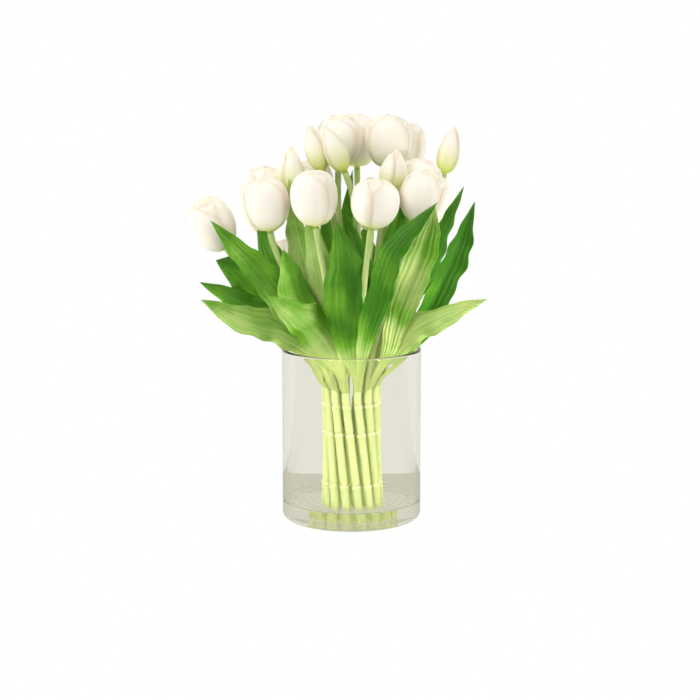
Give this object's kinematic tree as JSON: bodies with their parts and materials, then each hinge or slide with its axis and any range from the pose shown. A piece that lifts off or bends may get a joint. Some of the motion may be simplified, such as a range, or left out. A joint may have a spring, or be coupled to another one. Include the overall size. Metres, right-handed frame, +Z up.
{
  "type": "tulips in a vase",
  "caption": "Bunch of ivory tulips with broad waved leaves in a straight clear glass vase with shallow water.",
  "frame": {"origin": "middle of the vase's round underside, on the table", "axes": "+Z up, -Y towards the front of the bunch, +X to the right seen from the front"},
  "size_m": [0.3154, 0.2476, 0.4328],
  "materials": {
    "glass": "clear polished",
    "water": "clear",
    "leafy_stem": "satin",
    "petals": "soft matte",
    "bud": "soft matte"
  },
  "bodies": {
    "root": {"vase": "glass", "water": "water", "front_centre_leafy_stem": "leafy_stem", "front_centre_bloom": "petals", "front_right_leafy_stem": "leafy_stem", "front_right_bloom": "petals", "right_leafy_stem": "leafy_stem", "right_bloom": "petals", "right_bud_leafy_stem": "leafy_stem", "right_bud_flower": "bud", "back_right_leafy_stem": "leafy_stem", "back_right_bloom": "petals", "top_back_right_leafy_stem": "leafy_stem", "top_back_right_bloom": "petals", "back_centre_leafy_stem": "leafy_stem", "back_centre_bloom": "petals", "back_low_leafy_stem": "leafy_stem", "back_low_bloom": "petals", "back_left_low_leafy_stem": "leafy_stem", "back_left_low_bloom": "petals", "back_left_leafy_stem": "leafy_stem", "back_left_bloom": "petals", "left_leafy_stem": "leafy_stem", "left_bloom": "petals", "top_left_leafy_stem": "leafy_stem", "top_left_bloom": "petals", "front_left_leafy_stem": "leafy_stem", "front_left_bloom": "petals", "front_left_centre_leafy_stem": "leafy_stem", "front_left_centre_bloom": "petals", "top_front_bud_leafy_stem": "leafy_stem", "top_front_bud_flower": "bud", "middle_right_bud_leafy_stem": "leafy_stem", "middle_right_bud_flower": "bud", "top_right_leafy_stem": "leafy_stem", "top_right_bloom": "petals", "top_back_leafy_stem": "leafy_stem", "top_back_bloom": "petals", "top_centre_leafy_stem": "leafy_stem", "top_centre_bloom": "petals", "middle_left_leafy_stem": "leafy_stem", "middle_left_bloom": "petals", "middle_left_bud_leafy_stem": "leafy_stem", "middle_left_bud_flower": "bud", "top_left_bud_leafy_stem": "leafy_stem", "top_left_bud_flower": "bud"}
  },
  "joints": []
}
